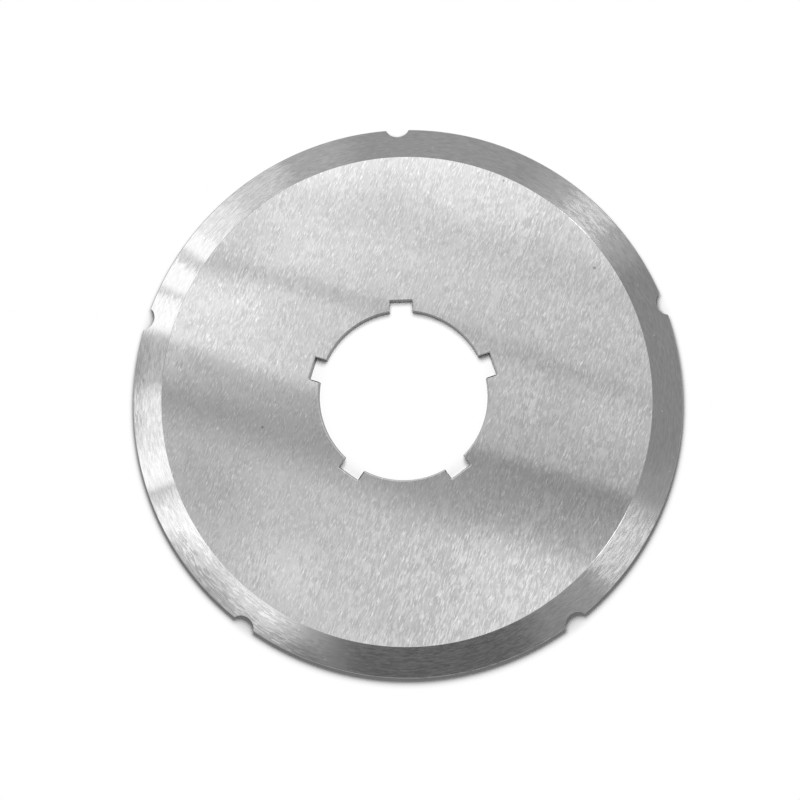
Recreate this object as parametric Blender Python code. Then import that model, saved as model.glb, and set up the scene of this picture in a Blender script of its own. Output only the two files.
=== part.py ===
"""Disc knife for a food processing machine: one flat steel ring with a ground edge.

The knife is turned from one plate. Both faces are flat, and the outer border of each is ground
to a shallow cone, so that the two cones meet at the cutting edge, halfway through the plate.
The bore has keyways at equal steps, and the edge has a round notch in line with each of them.

Units are metres and +Z is up. The origin is at the middle of the lower face, so the knife lies
on z = 0. The first keyway and the first notch lie on +Y.
"""

import math

import bmesh
import bpy

# Plate and ground edge
EDGE_DIAMETER = 0.1462  # across the cutting edge
THICKNESS = 0.0030
BEVEL_WIDTH = 0.0083  # of each ground cone, seen from above
EDGE_LAND = 0.0003  # height of the flat left at the cutting edge

# Bore and its keyways
BORE_DIAMETER = 0.0450
BORE_BREAK = 0.0002  # 45 degree break along the bore's and the keyways' edges
KEYWAY_WIDTH = 0.0061
KEYWAY_DEPTH = 0.0028  # from the bore's circle to the flat bottom
KEYWAY_CORNER = 0.0003  # radius in the two corners of the bottom

# Round notches in the cutting edge
NOTCH_RADIUS = 0.0033
NOTCH_DEPTH = 0.0022  # from the cutting edge's circle to the deepest point

# Keyways and notches share these equal steps
STATIONS = 5

# Fineness of the round shapes
DISC_STEPS = 240
NOTCH_STEPS = 48
CORNER_STEPS = 3
SMOOTH_ANGLE = math.radians(12)  # an edge that turns more than this stays crisp

# How far a cutter stands out past both faces
CUTTER_REACH = 0.0010

# Ground steel
STEEL_COLOUR = (0.60, 0.60, 0.61, 1.0)
STEEL_ROUGHNESS = 0.32


def clear_objects():
    """Empty the scene, so that the file can be run again."""
    for thing in list(bpy.data.objects):
        bpy.data.objects.remove(thing, do_unlink=True)


def steel():
    """The bright ground steel that the whole knife is made of."""
    material = bpy.data.materials.new("ground_steel")
    material.use_nodes = True
    shader = material.node_tree.nodes["Principled BSDF"]
    shader.inputs["Base Color"].default_value = STEEL_COLOUR
    shader.inputs["Metallic"].default_value = 1.0
    shader.inputs["Roughness"].default_value = STEEL_ROUGHNESS
    return material


def add_object(name, sheet):
    """Close a bmesh into a named object in the scene."""
    bmesh.ops.recalc_face_normals(sheet, faces=sheet.faces)
    mesh = bpy.data.meshes.new(name)
    sheet.to_mesh(mesh)
    sheet.free()
    thing = bpy.data.objects.new(name, mesh)
    bpy.context.scene.collection.objects.link(thing)
    return thing


def disc_section():
    """Half section of the plate as (radius, height), once round from the bore's lower edge."""
    bore = BORE_DIAMETER / 2
    edge = EDGE_DIAMETER / 2
    return [
        (bore + BORE_BREAK, 0.0),
        (bore, BORE_BREAK),
        (bore, THICKNESS - BORE_BREAK),
        (bore + BORE_BREAK, THICKNESS),
        (edge - BEVEL_WIDTH, THICKNESS),
        (edge, (THICKNESS + EDGE_LAND) / 2),
        (edge, (THICKNESS - EDGE_LAND) / 2),
        (edge - BEVEL_WIDTH, 0.0),
    ]


def turned_disc(name):
    """Turn the section once around Z into the bored and bevelled plate."""
    sheet = bmesh.new()
    section = [sheet.verts.new((radius, 0.0, height)) for radius, height in disc_section()]
    edges = [sheet.edges.new(pair) for pair in zip(section, section[1:] + section[:1])]
    bmesh.ops.spin(
        sheet,
        geom=section + edges,
        cent=(0.0, 0.0, 0.0),
        axis=(0.0, 0.0, 1.0),
        angle=math.tau,
        steps=DISC_STEPS,
        use_merge=True,
    )
    return add_object(name, sheet)


def arc(centre, radius, start, sweep, steps):
    """Points along an arc in the plan, both ends included."""
    turns = (start + sweep * step / steps for step in range(steps + 1))
    return [
        (centre[0] + radius * math.cos(turn), centre[1] + radius * math.sin(turn))
        for turn in turns
    ]


def keyway_outline(grow):
    """Plan of one keyway from the knife's axis out along +Y, with its wall moved out by grow."""
    side = KEYWAY_WIDTH / 2 + grow
    bottom = BORE_DIAMETER / 2 + KEYWAY_DEPTH + grow
    corner = KEYWAY_CORNER + grow
    quarter = math.pi / 2
    right = arc((side - corner, bottom - corner), corner, 0.0, quarter, CORNER_STEPS)
    left = arc((corner - side, bottom - corner), corner, quarter, quarter, CORNER_STEPS)
    return [(side, 0.0), *right, *left, (-side, 0.0)]


def notch_outline():
    """Plan of one round notch, which bites into the edge on +Y, with a facet at its deepest."""
    centre = (0.0, EDGE_DIAMETER / 2 - NOTCH_DEPTH + NOTCH_RADIUS)
    half_step = math.pi / NOTCH_STEPS
    return arc(centre, NOTCH_RADIUS, half_step, math.tau, NOTCH_STEPS)[:-1]


def lofted_cutter(name, levels):
    """Closed body through outlines at rising heights, each with as many points."""
    sheet = bmesh.new()
    rings = [
        [sheet.verts.new((x, y, height)) for x, y in outline] for height, outline in levels
    ]
    sheet.faces.new(rings[0])
    sheet.faces.new(rings[-1])
    for lower, upper in zip(rings, rings[1:]):
        for i in range(len(lower)):
            sheet.faces.new((lower[i - 1], lower[i], upper[i], upper[i - 1]))
    return add_object(name, sheet)


def keyway_cutter():
    """Keyway's cutter, flared at both faces so that it breaks the edges as it cuts."""
    flare = BORE_BREAK + CUTTER_REACH
    return lofted_cutter(
        "keyway_cutter",
        [
            (-CUTTER_REACH, keyway_outline(flare)),
            (BORE_BREAK, keyway_outline(0.0)),
            (THICKNESS - BORE_BREAK, keyway_outline(0.0)),
            (THICKNESS + CUTTER_REACH, keyway_outline(flare)),
        ],
    )


def notch_cutter():
    """Notch's cutter, a plain round bar across the cutting edge."""
    outline = notch_outline()
    return lofted_cutter(
        "notch_cutter", [(-CUTTER_REACH, outline), (THICKNESS + CUTTER_REACH, outline)]
    )


def cut_at_stations(body, cutter):
    """Cut the body with the cutter at every station around Z, then take the cutter away."""
    bpy.ops.object.select_all(action="DESELECT")
    bpy.context.view_layer.objects.active = body
    for station in range(STATIONS):
        cutter.rotation_euler.z = math.tau * station / STATIONS
        cut = body.modifiers.new("cut", "BOOLEAN")
        cut.operation = "DIFFERENCE"
        cut.solver = "EXACT"
        cut.object = cutter
        bpy.ops.object.modifier_apply(modifier=cut.name)
    bpy.data.objects.remove(cutter, do_unlink=True)


def finish_shading(body):
    """Smooth the round walls and keep the machined edges crisp."""
    body.data.shade_smooth()
    body.data.set_sharp_from_angle(angle=SMOOTH_ANGLE)


def knife_disc():
    """The whole knife, one piece of steel."""
    body = turned_disc("knife_disc")
    cut_at_stations(body, keyway_cutter())
    cut_at_stations(body, notch_cutter())
    body.data.materials.clear()
    body.data.materials.append(steel())
    finish_shading(body)


def main():
    clear_objects()
    knife_disc()


main()
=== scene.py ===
"""Disc knife of a food processing machine, in ground steel, lying in a plain pale studio.

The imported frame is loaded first. One finely modelled piece with the same sizes stands for its
knife_disc node. Its flat faces carry a short straight grain, its bevels are brushed round, and
its walls are turned. Lengths are in metres, and +Z points out of the upper face.
"""

import math

import bmesh
import bpy
from mathutils import Matrix, Vector


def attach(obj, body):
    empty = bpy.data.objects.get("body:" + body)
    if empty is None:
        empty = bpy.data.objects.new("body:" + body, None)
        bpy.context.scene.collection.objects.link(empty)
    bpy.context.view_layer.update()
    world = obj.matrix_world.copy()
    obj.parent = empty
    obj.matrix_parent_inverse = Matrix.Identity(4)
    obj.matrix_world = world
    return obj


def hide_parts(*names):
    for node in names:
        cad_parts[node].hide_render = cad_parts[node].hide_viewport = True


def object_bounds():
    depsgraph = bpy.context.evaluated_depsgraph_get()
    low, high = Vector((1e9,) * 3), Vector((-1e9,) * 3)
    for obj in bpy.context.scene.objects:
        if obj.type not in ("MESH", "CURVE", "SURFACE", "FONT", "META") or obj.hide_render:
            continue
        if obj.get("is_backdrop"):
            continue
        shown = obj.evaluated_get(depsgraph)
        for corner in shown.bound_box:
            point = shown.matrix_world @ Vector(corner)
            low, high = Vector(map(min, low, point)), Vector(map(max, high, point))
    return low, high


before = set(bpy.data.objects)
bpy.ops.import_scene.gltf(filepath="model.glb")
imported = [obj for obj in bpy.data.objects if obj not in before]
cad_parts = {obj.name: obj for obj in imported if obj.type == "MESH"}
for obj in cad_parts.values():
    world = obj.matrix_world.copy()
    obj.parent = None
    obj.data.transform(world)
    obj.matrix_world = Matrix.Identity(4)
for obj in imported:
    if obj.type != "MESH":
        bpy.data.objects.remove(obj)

bl_info = {
    "name": "Disc knife",
    "version": (1, 0, 0),
    "blender": (4, 5, 0),
    "location": "3D View > Sidebar > Disc knife",
    "description": "Models a ground disc knife over its packed frame, and the studio around it",
    "category": "Add Mesh",
}

CAD_LOW, CAD_HIGH = (list(corner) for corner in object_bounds())
NODE = "knife_disc"
BODY = "root"
MM = 0.001

# Fineness of the round shapes
PLATE_STEPS = 720
NOTCH_STEPS = 96
CORNER_STEPS = 4
ROUND_STEPS = 3
SMOOTH_ANGLE = math.radians(8)

STATIONS = 5  # keyways and notches, the first on +Y
KEY_RING_GAP = 0.0015  # from the keyways' bottoms out to the ring that borders them
CUTTER_REACH = 0.001  # how far a cutter stands out past the plate
MERGE_DISTANCE = 0.000002  # points this close after a cut are one
LINE_DISTANCE = 0.00005  # points this close to a circle lie on it
FLAT_NORMAL = 0.99  # a face whose normal rises more than this is flat
WALL_NORMAL = 0.5  # and one whose normal rises less than this is a wall

FACE_SLOT, BEVEL_SLOT, WALL_SLOT = range(3)

# Flat faces. A pair of numbers is where a change starts and where it ends.
FACE_TONE = 1.035  # the steel's colour is multiplied by a tone
STROKE_SETS = ((-10.0, 1.0), (10.0, 0.8))  # degrees off the grain's direction, and size
STROKE_EDGE = (0.50, 0.70)
SCRATCH_WIDTH = 0.8  # of the strokes' width
SWAY_SIZE = 0.004  # the strokes' lean changes slowly over this distance
SWAY_TURN = 0.0
SWAY_LEAN = 0.35
PATCH_SIZE = 0.003
PATCH_TURN = 1.1
PATCH_EDGE = (0.35, 0.65)
PATCH_STRENGTHS = (0.55, 1.45)  # of the strokes in weak and in strong patches
CLOUD_SIZE = 0.009
CLOUD_TURN = 0.3
CLOUD_CONTRAST = 0.05
CLOUD_ROUGHNESS = 0.03
# Pits: middle and reach
PITS = (
    (0.0514, 0.0324, 0.0006),
    (-0.0374, -0.0077, 0.0005),
    (0.0283, 0.0571, 0.0004),
)
PIT_MIDDLE = 0.3  # share of a pit's reach that is fully dark
PIT_SHADE = 0.45
SPECK_CELLS = (0.74, 0.78)  # one cell in four holds a speck
SPECK_TURN = 0.7
# Specks: spacing, reach, brightness
FACE_SPECKS = (0.006, 0.0005, 0.25)
BEVEL_SPECKS = (0.003, 0.0004, 0.5)

# Bevels
BEVEL_REACH = 0.07  # where the brush strokes have their given length
SWATH_SIZE = (2.5, 1.7)  # length and width of the wide strokes, in fine ones
BRUSH_SCRATCH_SIZE = (0.9, 0.8)  # of the cells that each lean their own way
LINE_CONTRAST = 0.5
SWATH_CONTRAST = 0.16
SWATH_LEAN = 0.5
SWATH_ROUGHNESS = 0.03
LIP_PAINTED_SHADE = 0.52  # how much darker the narrow bevel at the edge is painted, as painted shade
LIP_BLEND = 0.00002  # to either side of its inner line

# Walls of the bore, keyways, notches and cutting edge
TOOL_LINE_SIZE = (0.004, 0.004, 0.0002)
TOOL_LINE_DEPTH = 0.00002
TOOL_LINE_ROUGHNESS = 0.1
# Turned steel is a little darker, and most of this low tone is painted shade on the walls
WALL_TONE_AND_PAINTED_SHADE = 0.17
WALL_CONTRAST = 0.14

# Floor, with a white backdrop in circles: how far its edges lie from the knife's circles
FLOOR_SIZE = 6.0
FLOOR_GAP = 0.00002  # under the knife
BACKDROP_SHIFT = 0.0012  # the circles lie this far to the front, as the light falls that way
BEYOND_EDGE = (0.0002, 0.0024)  # outwards from the cutting edge
WITHIN_EDGE = (-0.0023, 0.001)  # outwards from the bore

# Camera, as fitted to the photograph: a 28 mm lens just south of the bore's axis
CAMERA_PLACE = (0.0057952, -0.0136654, 0.1664042)
CAMERA_TILT = 0.0743  # radians round X
CAMERA_LEAN = 0.0418  # radians round Y
CAMERA_TURN = math.radians(-1.28)  # round Z
CAMERA_LENS = 28.0
CAMERA_SENSOR = 36.0


class KnifeSizes(bpy.types.PropertyGroup):
    """Sizes of the knife."""

    edge_diameter: bpy.props.FloatProperty(
        name="Edge diameter",
        description="Across the cutting edge",
        default=CAD_HIGH[0] - CAD_LOW[0],
        unit="LENGTH",
    )
    thickness: bpy.props.FloatProperty(
        name="Thickness",
        description="From one flat face to the other",
        default=CAD_HIGH[2] - CAD_LOW[2],
        unit="LENGTH",
    )
    bevel_width: bpy.props.FloatProperty(
        name="Bevel width",
        description="Width of each ground bevel, seen from above",
        default=0.0083,
        unit="LENGTH",
    )
    edge_land: bpy.props.FloatProperty(
        name="Edge land",
        description="Thickness in which the two bevels end at the cutting edge",
        default=0.0003,
        unit="LENGTH",
    )
    edge_bevel: bpy.props.FloatProperty(
        name="Edge bevel",
        description="Width of the narrow steeper bevel that sharpens the cutting edge",
        default=0.0002,
        unit="LENGTH",
    )
    edge_flat: bpy.props.FloatProperty(
        name="Edge flat",
        description="Height of the flat that the narrow bevels leave",
        default=0.00008,
        unit="LENGTH",
    )
    bevel_round: bpy.props.FloatProperty(
        name="Bevel rounding",
        description="Width of the worn line where a flat face meets its bevel",
        default=0.0002,
        unit="LENGTH",
    )
    bore_diameter: bpy.props.FloatProperty(
        name="Bore diameter",
        description="Across the bore, without its keyways",
        default=0.045,
        unit="LENGTH",
    )
    bore_break: bpy.props.FloatProperty(
        name="Bore break",
        description="Width of the broken edges of the bore",
        default=0.0002,
        unit="LENGTH",
    )
    keyway_break: bpy.props.FloatProperty(
        name="Keyway break",
        description="Width of the broken edges of the keyways",
        default=0.00024,
        unit="LENGTH",
    )
    keyway_width: bpy.props.FloatProperty(
        name="Keyway width",
        description="From one side wall of a keyway to the other",
        default=0.0061,
        unit="LENGTH",
    )
    keyway_depth: bpy.props.FloatProperty(
        name="Keyway depth",
        description="From the bore's circle to a keyway's flat bottom",
        default=0.0028,
        unit="LENGTH",
    )
    keyway_corner: bpy.props.FloatProperty(
        name="Keyway corner",
        description="Radius in the two corners of a keyway's bottom",
        default=0.0003,
        unit="LENGTH",
    )
    notch_radius: bpy.props.FloatProperty(
        name="Notch radius",
        description="Radius of the round notches in the cutting edge",
        default=0.0033,
        unit="LENGTH",
    )
    notch_depth: bpy.props.FloatProperty(
        name="Notch depth",
        description="From the cutting edge's circle to a notch's deepest point",
        default=0.0022,
        unit="LENGTH",
    )


class SteelFinish(bpy.types.PropertyGroup):
    """Colour and grain of the ground steel."""

    colour: bpy.props.FloatVectorProperty(
        name="Steel colour",
        description="Colour of the bright steel",
        subtype="COLOR",
        size=3,
        default=(0.62, 0.62, 0.62),
    )
    face_roughness: bpy.props.FloatProperty(
        name="Face roughness",
        description="Roughness of the flat faces, besides their grain",
        default=0.07,
        subtype="FACTOR",
    )
    bevel_roughness: bpy.props.FloatProperty(
        name="Bevel roughness",
        description="Roughness of the bevels, besides their brush lines",
        default=0.07,
        subtype="FACTOR",
    )
    wall_roughness: bpy.props.FloatProperty(
        name="Wall roughness",
        description="Roughness of the bore, keyway and notch walls",
        default=0.30,
        subtype="FACTOR",
    )
    grain_angle: bpy.props.FloatProperty(
        name="Grain direction",
        description="Direction of the straight grain on the flat faces, from +X",
        default=math.radians(70),
        unit="ROTATION",
    )
    grain_length: bpy.props.FloatProperty(
        name="Grain length",
        description="Length of one stroke of the straight grain and of the gap after it",
        default=0.0018,
        unit="LENGTH",
    )
    grain_width: bpy.props.FloatProperty(
        name="Grain width",
        description="Width of one stroke of the straight grain and of the gap beside it",
        default=0.00041,
        unit="LENGTH",
    )
    grain_lean: bpy.props.FloatProperty(
        name="Grain lean",
        description="How far the strokes of the straight grain lean to their sides",
        default=0.043,
    )
    grain_contrast: bpy.props.FloatProperty(
        name="Grain contrast",
        description="How much brighter the strokes of the straight grain are",
        default=0.20,
        subtype="FACTOR",
    )
    brush_length: bpy.props.FloatProperty(
        name="Brush length",
        description="Length of one stroke round the bevels and of the gap after it",
        default=0.0020,
        unit="LENGTH",
    )
    brush_width: bpy.props.FloatProperty(
        name="Brush width",
        description="Width of one stroke round the bevels and of the gap beside it",
        default=0.00036,
        unit="LENGTH",
    )
    brush_lean: bpy.props.FloatProperty(
        name="Brush lean",
        description="How far the strokes round the bevels lean to their sides",
        default=0.02,
    )


class StudioSettings(bpy.types.PropertyGroup):
    """Floor and light of the studio."""

    floor_colour: bpy.props.FloatVectorProperty(
        name="Floor colour",
        description="Colour of the pale floor",
        subtype="COLOR",
        size=3,
        default=(0.98, 0.98, 0.98),
    )
    lamp_strength: bpy.props.FloatProperty(
        name="Lamp strength",
        description="Strength of the round soft lamp above the knife",
        default=38.0,
    )
    lamp_place: bpy.props.FloatVectorProperty(
        name="Lamp place",
        description="Middle of the lamp",
        subtype="TRANSLATION",
        size=3,
        default=(0.004, 0.038, 0.090),
    )
    lamp_radius: bpy.props.FloatProperty(
        name="Lamp radius",
        description="Radius of the lamp",
        default=0.030,
        unit="LENGTH",
    )
    fill_level: bpy.props.FloatProperty(
        name="Fill level",
        description="Even light from all round that reaches the floor",
        default=0.20,
        subtype="FACTOR",
    )


class Socket:
    """Output of a node, which turns sums with it into Math nodes."""

    def __init__(self, graph, output):
        self.graph = graph
        self.output = output

    def maths(self, operation, first, second):
        return self.graph.add("ShaderNodeMath", {"operation": operation}, {0: first, 1: second})

    def __add__(self, other):
        return self.maths("ADD", self, other)

    def __radd__(self, other):
        return self.maths("ADD", other, self)

    def __sub__(self, other):
        return self.maths("SUBTRACT", self, other)

    def __rsub__(self, other):
        return self.maths("SUBTRACT", other, self)

    def __mul__(self, other):
        return self.maths("MULTIPLY", self, other)

    def __rmul__(self, other):
        return self.maths("MULTIPLY", other, self)

    def __truediv__(self, other):
        return self.maths("DIVIDE", self, other)

    def __rtruediv__(self, other):
        return self.maths("DIVIDE", other, self)


class Graph:
    """Nodes of one material or world."""

    def __init__(self, owner):
        owner.use_nodes = True
        self.tree = owner.node_tree
        self.tree.nodes.clear()

    def add(self, kind, settings, sockets, output=0):
        """One node: its settings come first, then the values or links of its sockets."""
        node = self.tree.nodes.new(kind)
        for name, value in settings.items():
            setattr(node, name, value)
        for key, value in sockets.items():
            if isinstance(value, Socket):
                self.tree.links.new(value.output, node.inputs[key])
            else:
                node.inputs[key].default_value = value
        return Socket(self, node.outputs[output] if len(node.outputs) else None)

    def beside(self, socket, name):
        """Another output of the node that a socket belongs to."""
        return Socket(self, socket.output.node.outputs[name])


def parts(graph, vector):
    """The three components of a vector."""
    along_x = graph.add("ShaderNodeSeparateXYZ", {}, {"Vector": vector}, "X")
    return along_x, graph.beside(along_x, "Y"), graph.beside(along_x, "Z")


def fade(graph, value, low, high):
    """Smooth step from 0 at low to 1 at high."""
    return graph.add(
        "ShaderNodeMapRange",
        {"interpolation_type": "SMOOTHSTEP"},
        {"Value": value, "From Min": low, "From Max": high},
    )


def blend(share, start, end):
    """From start to end as share goes from 0 to 1."""
    return start + share * (end - start)


def ramp(graph, value, low, high, start, end):
    """From start to end as a value goes from low to high."""
    return blend(fade(graph, value, low, high), start, end)


def span(graph, x, y):
    """Length of a step along x and y."""
    return graph.add("ShaderNodeMath", {"operation": "SQRT"}, {0: x * x + y * y})


def towards(x, y, turn):
    """How much of a step along x and y lies in a direction, turned from +X."""
    return x * math.cos(turn) + y * math.sin(turn)


def bell(graph, value, centre, half, soft):
    """1 within half of a centre, falling to 0 over soft on either side."""
    off = graph.add("ShaderNodeMath", {"operation": "ABSOLUTE"}, {0: value - centre})
    return 1.0 - fade(graph, off, half - soft / 2, half + soft / 2)


def noise(graph, vector):
    """Soft noise between 0 and 1, with features one unit apart."""
    return graph.add("ShaderNodeTexNoise", {}, {"Vector": vector, "Scale": 1.0})


def flakes(graph, vector):
    """Cells one unit apart: a random number between 0 and 1 in each, and how far its middle is."""
    off = graph.add("ShaderNodeTexVoronoi", {}, {"Vector": vector, "Scale": 1.0}, "Distance")
    number = parts(graph, graph.beside(off, "Color"))[0]
    return number, off


def laid(graph, place, turn, size):
    """Coordinates turned round Z and measured in strokes of a size."""
    return graph.add(
        "ShaderNodeMapping",
        {"vector_type": "TEXTURE"},
        {"Vector": place, "Rotation": (0.0, 0.0, turn), "Scale": size},
    )


def blotches(graph, place, turn, size):
    """Noise in blotches of a size on the plane, between -0.5 and 0.5."""
    return noise(graph, laid(graph, place, turn, (size, size, MM))) - 0.5


def scaled(graph, vector, amount):
    """A vector or a colour times a number."""
    return graph.add(
        "ShaderNodeVectorMath", {"operation": "SCALE"}, {0: vector, "Scale": amount}
    )


def raised(graph, height, depth):
    """Normal of a surface whose height runs from 0 to 1 over a depth in metres."""
    return graph.add(
        "ShaderNodeBump", {}, {"Strength": 1.0, "Distance": depth, "Height": height}
    )


def vector_maths(graph, operation, first, second=None):
    """Vector Math on one or two vectors."""
    inputs = {0: first} if second is None else {0: first, 1: second}
    return graph.add("ShaderNodeVectorMath", {"operation": operation}, inputs)


def leaned(graph, leans):
    """Normal of the surface, leant by small amounts along directions on the object."""
    normal = graph.add("ShaderNodeNewGeometry", {}, {}, "Normal")
    for direction, amount in leans:
        turned = graph.add(
            "ShaderNodeVectorTransform",
            {"vector_type": "VECTOR", "convert_from": "OBJECT", "convert_to": "WORLD"},
            {"Vector": direction},
        )
        normal = vector_maths(graph, "ADD", normal, scaled(graph, turned, amount))
    return vector_maths(graph, "NORMALIZE", normal)


def steel_shader(graph, finish, tone, roughness, normal):
    """The metal itself, in the steel's colour times a tone."""
    metal = graph.add(
        "ShaderNodeBsdfPrincipled",
        {},
        {
            "Base Color": scaled(graph, tuple(finish.colour), tone),
            "Metallic": 1.0,
            "Roughness": roughness,
            "Normal": normal,
        },
    )
    graph.add("ShaderNodeOutputMaterial", {}, {"Surface": metal})


def object_place(graph):
    """Place on the object, in metres."""
    return graph.add("ShaderNodeTexCoord", {}, {}, "Object")


def pits(graph, place):
    """Dark at the few pits in the face, from 0 to 1."""
    x, y, _ = parts(graph, place)
    dark = 0.0
    for middle_x, middle_y, reach in PITS:
        off = span(graph, x - middle_x, y - middle_y)
        dark = dark + (1.0 - fade(graph, off, PIT_MIDDLE * reach, reach))
    return dark


def specks(graph, place, spacing, reach, brightness):
    """Scattered bright specks, one in a cell of a spacing and only in some of the cells."""
    number, off = flakes(graph, laid(graph, place, SPECK_TURN, (spacing, spacing, MM)))
    held = fade(graph, number, *SPECK_CELLS)
    return brightness * (held * (1.0 - fade(graph, off, 0.0, reach / spacing)))


def grain_strokes(graph, place, finish):
    """Two sets of crossing strokes on the flat faces, which brighten where they overlap."""
    bright = -0.5
    for spread, scale in STROKE_SETS:
        turn = finish.grain_angle + math.radians(spread)
        size = (finish.grain_length * scale, finish.grain_width * scale, MM)
        stroke = noise(graph, laid(graph, place, turn, size))
        bright = bright + fade(graph, stroke, *STROKE_EDGE)
    return bright


def ground_face(finish):
    """Flat ground faces: short overlapping straight strokes, with a few pits and specks."""
    material = bpy.data.materials.new("ground_face")
    graph = Graph(material)
    place = object_place(graph)
    turn = finish.grain_angle
    patches = 0.5 + blotches(graph, place, PATCH_TURN, PATCH_SIZE)
    lively = ramp(graph, patches, *PATCH_EDGE, *PATCH_STRENGTHS)
    bright = grain_strokes(graph, place, finish) * lively
    cloud = blotches(graph, place, CLOUD_TURN, CLOUD_SIZE)
    tone = FACE_TONE + finish.grain_contrast * bright + CLOUD_CONTRAST * cloud
    tone = tone + specks(graph, place, *FACE_SPECKS)
    tone = tone * (1.0 - PIT_SHADE * pits(graph, place))
    roughness = finish.face_roughness + CLOUD_ROUGHNESS * cloud
    size = (finish.grain_length, SCRATCH_WIDTH * finish.grain_width, MM)
    scratch, _ = flakes(graph, laid(graph, place, turn, size))
    sway = SWAY_LEAN * blotches(graph, place, SWAY_TURN, SWAY_SIZE)
    across = (math.cos(turn - math.pi / 2), math.sin(turn - math.pi / 2), 0.0)
    lean = finish.grain_lean * ((scratch - 0.5) * lively + sway)
    normal = leaned(graph, ((across, lean),))
    steel_shader(graph, finish, tone, roughness, normal)
    return material


def round_place(graph, place, length, width):
    """Coordinates that run round Z and out from it, measured in brush strokes of a size."""
    x, y, z = parts(graph, place)
    reach = span(graph, x, y)
    east = x / reach
    north = y / reach
    strokes = graph.add(
        "ShaderNodeCombineXYZ",
        {},
        {
            "X": east * (BEVEL_REACH / length),
            "Y": north * (BEVEL_REACH / length),
            "Z": reach / width + z / MM,
        },
    )
    outwards = graph.add("ShaderNodeCombineXYZ", {}, {"X": east, "Y": north})
    round_axis = graph.add("ShaderNodeCombineXYZ", {}, {"X": 0.0 - north, "Y": east})
    return strokes, outwards, round_axis


def lip_painted_shade(graph, place, sizes):
    """How much darker the bevels are painted: only the narrow one at the cutting edge, as painted
    shade.
    """
    x, y, _ = parts(graph, place)
    lip = sizes.edge_diameter / 2 - sizes.edge_bevel
    return LIP_PAINTED_SHADE * fade(graph, span(graph, x, y), lip - LIP_BLEND, lip + LIP_BLEND)


def ground_bevel(sizes, finish):
    """Ground bevels: fine brush strokes that run round, with painted shade on the narrow bevel at
    the edge.
    """
    material = bpy.data.materials.new("ground_bevel")
    graph = Graph(material)
    place = object_place(graph)
    length = finish.brush_length
    width = finish.brush_width
    fine, outwards, round_axis = round_place(graph, place, length, width)
    wide = round_place(graph, place, SWATH_SIZE[0] * length, SWATH_SIZE[1] * width)[0]
    cells = round_place(
        graph, place, BRUSH_SCRATCH_SIZE[0] * length, BRUSH_SCRATCH_SIZE[1] * width
    )[0]
    lines = noise(graph, fine) - 0.5
    swaths = noise(graph, wide) - 0.5
    scratch, _ = flakes(graph, cells)
    tone = 1.0 + LINE_CONTRAST * lines + SWATH_CONTRAST * swaths
    tone = tone + specks(graph, place, *BEVEL_SPECKS)
    # Painted shade: the narrow bevel at the cutting edge is darkened in the colour
    tone = tone * (1.0 - lip_painted_shade(graph, place, sizes))
    roughness = finish.bevel_roughness + SWATH_ROUGHNESS * swaths
    normal = leaned(
        graph,
        (
            (outwards, finish.brush_lean * (scratch - 0.5 + SWATH_LEAN * swaths)),
            (round_axis, finish.brush_lean * lines),
        ),
    )
    steel_shader(graph, finish, tone, roughness, normal)
    return material


def turned_wall_with_painted_shade(finish):
    """Walls of the bore, keyways, notches and cutting edge: fine tool lines on a dark tone, partly
    turned steel and mostly painted shade.
    """
    material = bpy.data.materials.new("turned_wall_with_painted_shade")
    graph = Graph(material)
    lines = noise(graph, laid(graph, object_place(graph), 0.0, TOOL_LINE_SIZE))
    # Painted shade: the walls' colour is kept low
    tone = WALL_TONE_AND_PAINTED_SHADE + WALL_CONTRAST * (lines - 0.5)
    roughness = finish.wall_roughness + TOOL_LINE_ROUGHNESS * (lines - 0.5)
    steel_shader(graph, finish, tone, roughness, raised(graph, lines, TOOL_LINE_DEPTH))
    return material


def deselect():
    bpy.ops.object.select_all(action="DESELECT")


def start_editing(kind):
    """Edit mode, with faces or edges selectable."""
    bpy.ops.object.mode_set(mode="EDIT")
    bpy.ops.mesh.select_mode(type=kind)


def stop_editing():
    bpy.ops.object.mode_set(mode="OBJECT")


def pick(piece, kind, wanted):
    """In edit mode, select only the faces or edges that a test wants."""
    bpy.ops.mesh.select_mode(type=kind)
    bpy.ops.mesh.select_all(action="DESELECT")
    sheet = bmesh.from_edit_mesh(piece.data)
    items = sheet.faces if kind == "FACE" else sheet.edges
    chosen = [item for item in items if wanted(item)]
    if not chosen:
        raise RuntimeError("nothing on " + piece.name + " fits the selection")
    for item in chosen:
        item.select_set(True)
    bmesh.update_edit_mesh(piece.data)


def extrude_to(height, step, ratio):
    """Extrude the selection along Z by a step and scale it round the axis."""
    bpy.ops.mesh.extrude_region_move(TRANSFORM_OT_translate={"value": (0.0, 0.0, step)})
    bpy.ops.transform.resize(
        value=(ratio, ratio, 1.0), center_override=(0.0, 0.0, height), orient_type="GLOBAL"
    )


def face_side(side):
    """Test for the flat cap on one side of the plate."""
    return lambda face: face.normal.z * side > FLAT_NORMAL


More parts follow.
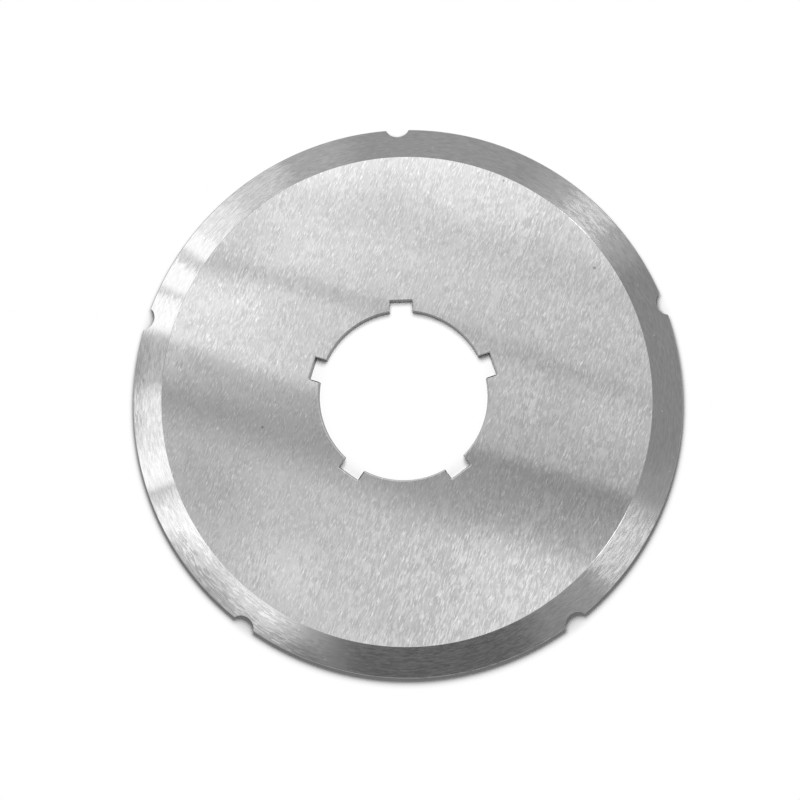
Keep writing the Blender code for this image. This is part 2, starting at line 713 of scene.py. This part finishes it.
def grown_plate(sizes):
    """Plate grown both ways from its cutting edge, with an open bore."""
    edge = sizes.edge_diameter / 2
    face = edge - sizes.bevel_width
    key_ring = sizes.bore_diameter / 2 + sizes.keyway_depth + KEY_RING_GAP
    bore = sizes.bore_diameter / 2
    middle = sizes.thickness / 2
    slope = (middle - sizes.edge_land / 2) / sizes.bevel_width
    lip = edge - sizes.edge_bevel
    lip_height = sizes.edge_land / 2 + slope * sizes.edge_bevel
    deselect()
    bpy.ops.mesh.primitive_cylinder_add(
        vertices=PLATE_STEPS, radius=edge, depth=sizes.edge_flat, location=(0.0, 0.0, middle)
    )
    plate = bpy.context.object
    plate.name = "ground_disc"
    plate.data.name = "ground_disc"
    bpy.ops.object.transform_apply(location=True, rotation=True, scale=True)
    start_editing("FACE")
    for side in (1, -1):
        top = middle + side * middle
        pick(plate, "FACE", face_side(side))
        extrude_to(top, side * (lip_height - sizes.edge_flat / 2), lip / edge)
        extrude_to(top, side * (middle - lip_height), face / lip)
        extrude_to(top, 0.0, key_ring / face)
        extrude_to(top, 0.0, (bore + sizes.bore_break) / key_ring)
        extrude_to(top, -side * sizes.bore_break, bore / (bore + sizes.bore_break))
        bpy.ops.mesh.delete(type="FACE")
    pick(plate, "EDGE", lambda line: line.is_boundary)
    bpy.ops.mesh.bridge_edge_loops()
    bpy.ops.mesh.select_all(action="SELECT")
    bpy.ops.mesh.normals_make_consistent(inside=False)
    stop_editing()
    return plate


def reach_of(point):
    """Distance from the bore's axis."""
    return math.hypot(point.x, point.y)


def round_lines(plate, sizes):
    """Round the lines where faces meet bevels."""
    border = sizes.edge_diameter / 2 - sizes.bevel_width

    def on_border(point):
        return abs(reach_of(point) - border) < LINE_DISTANCE

    start_editing("EDGE")
    pick(plate, "EDGE", lambda line: all(on_border(corner.co) for corner in line.verts))
    bpy.ops.mesh.bevel(
        offset=sizes.bevel_round / 2,
        offset_type="OFFSET",
        segments=ROUND_STEPS,
        affect="EDGES",
    )
    stop_editing()


def keyway_cutter(sizes):
    """Cutter for one keyway on +Y, flared at both faces so that it breaks the edges."""
    bottom = sizes.bore_diameter / 2 + sizes.keyway_depth
    straight = sizes.thickness - 2 * sizes.keyway_break
    flare = sizes.keyway_break + CUTTER_REACH
    deselect()
    bpy.ops.mesh.primitive_cube_add(
        size=1.0,
        location=(0.0, bottom / 2, sizes.thickness / 2),
        scale=(sizes.keyway_width, bottom, straight),
    )
    cutter = bpy.context.object
    bpy.ops.object.transform_apply(location=True, rotation=True, scale=True)
    start_editing("EDGE")
    pick(
        cutter,
        "EDGE",
        lambda line: all(corner.co.y > bottom / 2 for corner in line.verts)
        and abs(line.verts[0].co.z - line.verts[1].co.z) > straight / 2,
    )
    bpy.ops.mesh.bevel(
        offset=sizes.keyway_corner, offset_type="OFFSET", segments=CORNER_STEPS, affect="EDGES"
    )
    for side in (1, -1):
        pick(cutter, "FACE", face_side(side))
        bpy.ops.mesh.extrude_region_move(
            TRANSFORM_OT_translate={"value": (0.0, 0.0, side * flare)}
        )
        bpy.ops.transform.resize(
            value=(1 + 2 * flare / sizes.keyway_width, 1 + flare / bottom, 1.0),
            center_override=(0.0, 0.0, 0.0),
            orient_type="GLOBAL",
        )
    stop_editing()
    return cutter


def notch_cutter(sizes):
    """Cutter for one round notch on +Y, with a facet at its deepest."""
    deselect()
    bpy.ops.mesh.primitive_cylinder_add(
        vertices=NOTCH_STEPS,
        radius=sizes.notch_radius,
        depth=sizes.thickness + 2 * CUTTER_REACH,
        location=(
            0.0,
            sizes.edge_diameter / 2 - sizes.notch_depth + sizes.notch_radius,
            sizes.thickness / 2,
        ),
        rotation=(0.0, 0.0, math.pi / NOTCH_STEPS),
    )
    bpy.ops.object.transform_apply(location=True, rotation=True, scale=True)
    return bpy.context.object


def cut_at_stations(plate, cutter):
    """Cut the plate with the cutter at every station, then take the cutter away."""
    deselect()
    bpy.context.view_layer.objects.active = plate
    plate.select_set(True)
    for station in range(STATIONS):
        cutter.rotation_euler.z = math.tau * station / STATIONS
        cut = plate.modifiers.new("cut", "BOOLEAN")
        cut.operation = "DIFFERENCE"
        cut.solver = "EXACT"
        cut.object = cutter
        bpy.ops.object.modifier_apply(modifier=cut.name)
    bpy.data.objects.remove(cutter, do_unlink=True)
    start_editing("VERT")
    bpy.ops.mesh.select_all(action="SELECT")
    bpy.ops.mesh.remove_doubles(threshold=MERGE_DISTANCE)
    stop_editing()


def finish_of(face, sizes):
    """Which finish a face has: by how steep it is and how far out it lies."""
    reach = reach_of(face.calc_center_median())
    edge = sizes.edge_diameter / 2
    if abs(face.normal.z) < WALL_NORMAL:
        return WALL_SLOT
    return BEVEL_SLOT if reach > edge - sizes.bevel_width else FACE_SLOT


def dress(plate, sizes, finish):
    """Give every face its finish, smooth the round walls and keep the machined edges crisp."""
    plate.data.materials.clear()
    for material in (ground_face(finish), ground_bevel(sizes, finish), turned_wall_with_painted_shade(finish)):
        plate.data.materials.append(material)
    sheet = bmesh.new()
    sheet.from_mesh(plate.data)
    for face in sheet.faces:
        face.material_index = finish_of(face, sizes)
    open_lines = [line for line in sheet.edges if not line.is_manifold]
    sheet.to_mesh(plate.data)
    sheet.free()
    if open_lines:
        raise RuntimeError("the disc has " + str(len(open_lines)) + " open edges")
    deselect()
    plate.select_set(True)
    bpy.context.view_layer.objects.active = plate
    bpy.ops.object.shade_smooth_by_angle(angle=SMOOTH_ANGLE)


class DISC_KNIFE_OT_disc(bpy.types.Operator):
    """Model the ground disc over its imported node"""

    bl_idname = "disc_knife.disc"
    bl_label = "Ground disc"

    def execute(self, context):
        sizes = context.scene.disc_knife_sizes
        finish = context.scene.disc_knife_finish
        disc = grown_plate(sizes)
        round_lines(disc, sizes)
        cut_at_stations(disc, keyway_cutter(sizes))
        cut_at_stations(disc, notch_cutter(sizes))
        dress(disc, sizes, finish)
        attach(disc, BODY)
        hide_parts(NODE)
        return {"FINISHED"}


def studio_floor(studio, bore):
    """Pale floor just under the knife: a white backdrop beyond it and in the bore's middle."""
    deselect()
    bpy.ops.mesh.primitive_plane_add(
        size=FLOOR_SIZE, location=(0.0, 0.0, CAD_LOW[2] - FLOOR_GAP)
    )
    floor = bpy.context.object
    floor.name = "studio_floor"
    material = bpy.data.materials.new("pale_floor")
    graph = Graph(material)
    x, y, _ = parts(graph, object_place(graph))
    out = span(graph, x, y + BACKDROP_SHIFT)
    seen = graph.add("ShaderNodeLightPath", {}, {}, "Is Camera Ray")
    seen = seen + graph.beside(seen, "Is Glossy Ray") + graph.beside(seen, "Is Transmission Ray")
    matt = graph.add("ShaderNodeBsdfDiffuse", {}, {"Color": (*studio.floor_colour, 1.0)})
    white = graph.add("ShaderNodeEmission", {}, {"Strength": 1.0})
    beyond = fade(graph, out, *(CAD_HIGH[0] + step for step in BEYOND_EDGE))
    within = 1.0 - fade(graph, out, *(bore + step for step in WITHIN_EDGE))
    backdrop = (beyond + within) * seen
    surface = graph.add("ShaderNodeMixShader", {}, {"Fac": backdrop, 1: matt, 2: white})
    graph.add("ShaderNodeOutputMaterial", {}, {"Surface": surface})
    floor.data.materials.append(material)
    floor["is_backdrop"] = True


def studio_lamp(studio):
    """One round soft lamp above and behind the bore, as strong far out as near, for the floor."""
    light = bpy.data.lights.new("soft_lamp", "POINT")
    light.energy = 1.0
    light.shadow_soft_size = studio.lamp_radius
    graph = Graph(light)
    even = graph.add(
        "ShaderNodeLightFalloff", {}, {"Strength": studio.lamp_strength}, "Constant"
    )
    glow = graph.add("ShaderNodeEmission", {}, {"Strength": even})
    graph.add("ShaderNodeOutputLight", {}, {"Surface": glow})
    lamp = bpy.data.objects.new("soft_lamp", light)
    lamp.location = studio.lamp_place
    lamp.visible_glossy = False
    bpy.context.scene.collection.objects.link(lamp)


# Reflections of the studio, in the steel seen from the camera: a direction is written as the
# place, in millimetres, where a mirror in the knife's upper plane shows it. What lies outside
# the knife there is seen in the bevel, which is tilted. A pair of numbers is where a change
# starts and where it ends, and a ramp has the values at both after them.
LOWEST_RISE = 0.02  # a direction that rises less than this shows what lies at this rise
ROOM_STEP = 60.0
# Light of ceiling and wall: the level, and its change with u, v, u * v, v * v and u * u, where
# u and v are x and y in room steps
CEILING = (0.87, -0.21, 0.09, 0.13, 0.27, 0.12)
WALL = (0.81, 0.06, -0.14, -0.06, 0.0, 0.0)
BAND_TURN = math.radians(-18.5)  # the bands fall to the right
CEILING_EDGE = (-22.0, -10.0)
BEAM_FOOT = (-33.0, -17.0)  # lower edge of the wide band
BEAM_STEP = (-15.0, 20.0, 0.0, 4.0)  # ramp along the band, which moves its foot
BEAM_HEAD = (-8.9, -4.0)  # and its upper edge
BEAM_TAPER = 0.022
BEAM_SHADES = (0.395, 0.0007)  # in the middle, and its change along the beam
HAZE_FOOT = (-12.0, -9.5)  # lower edge of the faint band above it, at the right only
HAZE_HEAD = (-4.0, 14.0)
HAZE_START = (0.0, 30.0)
HAZE_SHADE = 0.07
WIRE = (20.4, 2.5, 3.0)  # middle, half width, soft edge
WIRE_TAPER = 0.02
WIRE_SHADES = (0.195, -0.0008)
SHELF = (47.5, 6.0, 8.0)
SHELF_SHADE = 0.12
SLAT_PITCH = 14.0
SLAT_DEPTH = 0.24
SLAT_EDGE = (-30.0, -10.0)  # between the slats below and above
SLATS_BELOW = (-35.0, 5.0, 0.5, 1.6)  # ramps with x
SLATS_ABOVE = (10.0, 40.0, 0.8, 1.2)
SLATS_HIDDEN = (-10.0, 35.0, 1.0, 0.1)  # how well the beam hides them
# Lighter and darker places in the ceiling and wall: middle, reach, amount
SOFT_SPOTS = (
    (-34.0, -49.0, 15.0, 0.20),
    (27.0, -46.0, 18.0, 0.13),
    (-57.0, -25.0, 18.0, -0.12),
    (44.0, 46.0, 14.0, -0.13),
    (0.0, -66.0, 14.0, -0.10),
    (-2.0, 61.0, 13.0, -0.16),
    (60.0, -8.0, 17.0, 0.12),
    (-50.0, 31.0, 11.0, 0.22),
    (-40.0, 9.0, 8.0, 0.14),
    (-58.0, 10.0, 8.0, -0.16),
    (33.0, 0.0, 10.0, 0.09),
)
NOOK_TURN = math.radians(137)
NOOK_WIDTH = (0.965, 0.995)  # cosines
NOOK_START = (55.0, 62.0)
NOOK_SHADE = 0.20
RING_EDGE = (80.0, 100.0)
# Windows and bars of the ring: direction in degrees, half width, soft edge, level
RING = (
    (86.0, 30.0, 20.0, 0.47),
    (113.0, 8.0, 16.0, 0.61),
    (126.0, 8.5, 8.0, 0.93),
    (141.0, 9.0, 12.0, 1.33),
    (152.3, 12.4, 3.0, 1.60),
    (145.5, 1.5, 1.2, 1.02),
    (154.1, 0.8, 0.8, 1.00),
    (170.0, 6.5, 3.0, 0.76),
    (195.0, 19.0, 5.0, 1.32),
    (195.0, 5.0, 4.0, 1.50),
    (201.3, 2.9, 1.2, 0.44),
    (209.0, 7.5, 10.0, 1.47),
    (227.5, 10.8, 21.0, 0.95),
    (223.0, 3.0, 4.0, 0.84),
    (233.0, 3.0, 6.0, 0.95),
    (276.0, 20.0, 14.0, 0.19),
    (325.0, 17.0, 11.0, 0.46),
    (325.0, 5.0, 14.0, 0.92),
    (44.3, 0.0, 36.0, 0.62),
    (44.3, 0.0, 14.0, 0.92),
)
# Shades over some windows: direction in degrees, half width, and a ramp with the reach
LINTELS = (
    (177.0, 11.0, 141.0, 152.0, 0.0, -0.34),
    (230.0, 21.0, 126.0, 150.0, 0.38, -0.39),
    (148.0, 26.0, 118.0, 128.0, -0.5, 0.0),
)
LINTEL_SOFT = 0.02
RING_WALL = 0.37
SUNNY_SIDE = (0.1, 0.5)  # share of the reach that lies to the right
BLIND_PITCH = 9.0
BLIND_DEPTH = 0.60
BLIND_LEVELS = (1.05, 0.45, 0.2)  # of the windows with blinds: middle, half width, soft edge
BLINDS_SUNNY = 0.9  # how much stronger they are on the sunny side
DARK_LEVELS = (0.2, 0.34)
DARK_BLINDS = 1.4  # strength of the blinds in dark windows
SILL_LEVELS = (0.7, 0.92)  # of the windows with a bright sill
SILL_EDGE = (108.0, 122.0)
SILL_GLOW = 2.2
FAR_EDGE = (200.0, 420.0)  # beyond the ring, which only low views show
FAR_LEVEL = 0.68
FAR_LEAN = 0.28  # brighter behind the knife and darker in front of it
FAR_TURN = math.radians(88)
FAR_RAIL = (640.0, 45.0, 150.0)
RAIL_SHADE = 0.3


def mirror_place(graph):
    """Where a mirror in the knife's upper plane shows a direction, in millimetres."""
    x, y, z = parts(graph, graph.add("ShaderNodeTexCoord", {}, {}, "Generated"))
    height = (CAMERA_PLACE[2] - CAD_HIGH[2]) / MM
    rising = graph.add("ShaderNodeMath", {"operation": "MAXIMUM"}, {0: z, 1: LOWEST_RISE})
    return (
        x / rising * height + CAMERA_PLACE[0] / MM,
        y / rising * height + CAMERA_PLACE[1] / MM,
    )


def ripple(graph, value, pitch):
    """Narrow bright slits at a pitch, which leave the mean level as it is."""
    wave = graph.add("ShaderNodeMath", {"operation": "SINE"}, {0: value * (math.tau / pitch)})
    slit = 0.5 + 0.5 * wave
    return slit * slit - 0.375  # the mean of the squares


def slow_change(u, v, terms):
    """Brightness that changes slowly over the room."""
    level, by_u, by_v, by_both, by_v_twice, by_u_twice = terms
    level = level + by_u * u + by_v * v + by_both * u * v
    return level + by_v_twice * v * v + by_u_twice * u * u


def room_light(graph, x, y, across):
    """Ceiling and wall, with their lighter and darker places."""
    u = x / ROOM_STEP
    v = y / ROOM_STEP
    wall = slow_change(u, v, WALL)
    room = ramp(graph, across, *CEILING_EDGE, wall, slow_change(u, v, CEILING))
    for middle_x, middle_y, spread, amount in SOFT_SPOTS:
        off = span(graph, x - middle_x, y - middle_y)
        room = room + amount * (1.0 - fade(graph, off, 0.0, spread))
    return room


def beam_band(graph, along, across):
    """The wide band, from 0 to 1."""
    foot = across + ramp(graph, along, *BEAM_STEP)
    head = across + BEAM_TAPER * along
    return fade(graph, foot, *BEAM_FOOT) * (1.0 - fade(graph, head, *BEAM_HEAD))


def slat_relief(graph, x, along, across, beam):
    """Slats in the ceiling and wall, which the beam partly hides."""
    hidden = ramp(graph, x, *SLATS_HIDDEN) * beam
    below = ramp(graph, x, *SLATS_BELOW)
    above = ramp(graph, x, *SLATS_ABOVE)
    slats = ripple(graph, along, SLAT_PITCH) * (1.0 - hidden)
    return 1.0 + SLAT_DEPTH * (slats * ramp(graph, across, *SLAT_EDGE, below, above))


def band_shades(graph, along, across, beam):
    """What the beam, the haze over it, the wire and the shelf leave of the light."""
    beam = beam * (BEAM_SHADES[0] + BEAM_SHADES[1] * along)
    haze = (1.0 - fade(graph, across, *HAZE_HEAD)) * fade(graph, along, *HAZE_START)
    haze = haze * fade(graph, across, *HAZE_FOOT) * HAZE_SHADE
    wire = bell(graph, across + WIRE_TAPER * along, *WIRE)
    wire = wire * (WIRE_SHADES[0] + WIRE_SHADES[1] * along)
    shelf = bell(graph, across, *SHELF) * SHELF_SHADE
    return (1.0 - beam) * (1.0 - haze) * (1.0 - wire) * (1.0 - shelf)


def nook_shade(graph, x, y):
    """The dark nook in the corner of the room."""
    reach = span(graph, x, y)
    facing = towards(x, y, NOOK_TURN) / reach
    return fade(graph, facing, *NOOK_WIDTH) * fade(graph, reach, *NOOK_START) * NOOK_SHADE


def face_bands(graph, x, y):
    """Light that the flat face shows: ceiling and wall, with straight darker bands across."""
    along = towards(x, y, BAND_TURN)
    across = y * math.cos(BAND_TURN) - x * math.sin(BAND_TURN)
    beam = beam_band(graph, along, across)
    room = room_light(graph, x, y, across) * slat_relief(graph, x, along, across, beam)
    shades = band_shades(graph, along, across, beam) * (1.0 - nook_shade(graph, x, y))
    return room * shades


def ring_level(graph, east, north):
    """Level of the windows, their bars and the walls between them."""
    level = RING_WALL
    for direction, half, soft, pane in RING:
        facing = towards(east, north, math.radians(direction))
        low = math.cos(math.radians(half + soft / 2))
        high = math.cos(math.radians(max(half - soft / 2, 0.0)))
        level = ramp(graph, facing, low, high, level, pane)
    return level


def lintel_shades(graph, reach, east, north):
    """What the shades over the windows leave of the light."""
    left = 1.0
    for direction, half, *change in LINTELS:
        facing = towards(east, north, math.radians(direction))
        wide = math.cos(math.radians(half))
        share = fade(graph, facing, wide - LINTEL_SOFT, wide + LINTEL_SOFT)
        left = left * (1.0 + share * ramp(graph, reach, *change))
    return left


def room_ring(graph, x, y):
    """Light that the bevel shows: windows with blinds and sills, and the walls between them."""
    reach = span(graph, x, y)
    east = x / reach
    north = y / reach
    level = ring_level(graph, east, north)
    sunny = fade(graph, east, *SUNNY_SIDE)
    slotted = bell(graph, level, *BLIND_LEVELS) * (1.0 + BLINDS_SUNNY * sunny)
    slotted = slotted + DARK_BLINDS * (1.0 - fade(graph, level, *DARK_LEVELS))
    blinds = BLIND_DEPTH * (ripple(graph, reach, BLIND_PITCH) * slotted)
    sill = fade(graph, level, *SILL_LEVELS) * (1.0 - fade(graph, reach, *SILL_EDGE)) * sunny
    windows = level * (1.0 + blinds + SILL_GLOW * sill)
    return windows * lintel_shades(graph, reach, east, north), reach


def studio_reflections(graph):
    """Everything that the steel shows of the studio."""
    x, y = mirror_place(graph)
    ring, reach = room_ring(graph, x, y)
    near = ramp(graph, reach, *RING_EDGE, face_bands(graph, x, y), ring)
    rail = 1.0 - RAIL_SHADE * bell(graph, reach, *FAR_RAIL)
    far = (FAR_LEVEL + FAR_LEAN * towards(x, y, FAR_TURN) / reach) * rail
    return ramp(graph, reach, *FAR_EDGE, near, far)


def studio_world(studio):
    """White to the camera, even light to the floor, and the studio's room to the steel."""
    world = bpy.data.worlds.new("studio")
    graph = Graph(world)
    to_camera = graph.add("ShaderNodeLightPath", {}, {}, "Is Camera Ray")
    to_glass = graph.beside(to_camera, "Is Transmission Ray")
    to_steel = graph.beside(to_camera, "Is Glossy Ray")
    level = blend(to_steel, studio.fill_level, studio_reflections(graph))
    level = blend(to_camera, level, 1.0)
    level = blend(to_glass, level, 1.0)
    sky = graph.add("ShaderNodeBackground", {}, {"Color": (1.0, 1.0, 1.0, 1.0), "Strength": level})
    graph.add("ShaderNodeOutputWorld", {}, {"Surface": sky})
    world.cycles.sampling_method = "NONE"
    bpy.context.scene.world = world


def studio_camera():
    """Camera at the photograph's place and angle."""
    data = bpy.data.cameras.new("camera")
    data.lens = CAMERA_LENS
    data.sensor_width = CAMERA_SENSOR
    data.clip_start = 0.01
    camera = bpy.data.objects.new("camera", data)
    swing = Vector((CAMERA_TILT, CAMERA_LEAN, 0.0))
    turned = Matrix.Rotation(CAMERA_TURN, 4, "Z")
    tilted = Matrix.Rotation(swing.length, 4, swing)
    camera.matrix_world = Matrix.Translation(CAMERA_PLACE) @ turned @ tilted
    bpy.context.scene.collection.objects.link(camera)
    bpy.context.scene.camera = camera


class DISC_KNIFE_OT_studio(bpy.types.Operator):
    """Set up the floor, the light and the camera"""

    bl_idname = "disc_knife.studio"
    bl_label = "Studio"

    def execute(self, context):
        studio = context.scene.disc_knife_studio
        studio_floor(studio, context.scene.disc_knife_sizes.bore_diameter / 2)
        studio_lamp(studio)
        studio_world(studio)
        studio_camera()
        context.scene.view_settings.view_transform = "Standard"
        return {"FINISHED"}


class DISC_KNIFE_PT_panel(bpy.types.Panel):
    """Sizes, finish and studio of the disc knife"""

    bl_idname = "DISC_KNIFE_PT_panel"
    bl_label = "Disc knife"
    bl_space_type = "VIEW_3D"
    bl_region_type = "UI"
    bl_category = "Disc knife"

    def draw(self, context):
        for group, operator in (
            (context.scene.disc_knife_sizes, None),
            (context.scene.disc_knife_finish, DISC_KNIFE_OT_disc.bl_idname),
            (context.scene.disc_knife_studio, DISC_KNIFE_OT_studio.bl_idname),
        ):
            box = self.layout.box()
            for name in group.__annotations__:
                box.prop(group, name)
            if operator:
                box.operator(operator)


CLASSES = (
    KnifeSizes,
    SteelFinish,
    StudioSettings,
    DISC_KNIFE_OT_disc,
    DISC_KNIFE_OT_studio,
    DISC_KNIFE_PT_panel,
)


def register():
    for kind in CLASSES:
        bpy.utils.register_class(kind)
    bpy.types.Scene.disc_knife_sizes = bpy.props.PointerProperty(type=KnifeSizes)
    bpy.types.Scene.disc_knife_finish = bpy.props.PointerProperty(type=SteelFinish)
    bpy.types.Scene.disc_knife_studio = bpy.props.PointerProperty(type=StudioSettings)


def unregister():
    del bpy.types.Scene.disc_knife_studio
    del bpy.types.Scene.disc_knife_finish
    del bpy.types.Scene.disc_knife_sizes
    for kind in reversed(CLASSES):
        bpy.utils.unregister_class(kind)


def main():
    """Build the knife and its studio."""
    register()
    bpy.ops.disc_knife.disc()
    bpy.ops.disc_knife.studio()


if __name__ == "__main__":
    main()
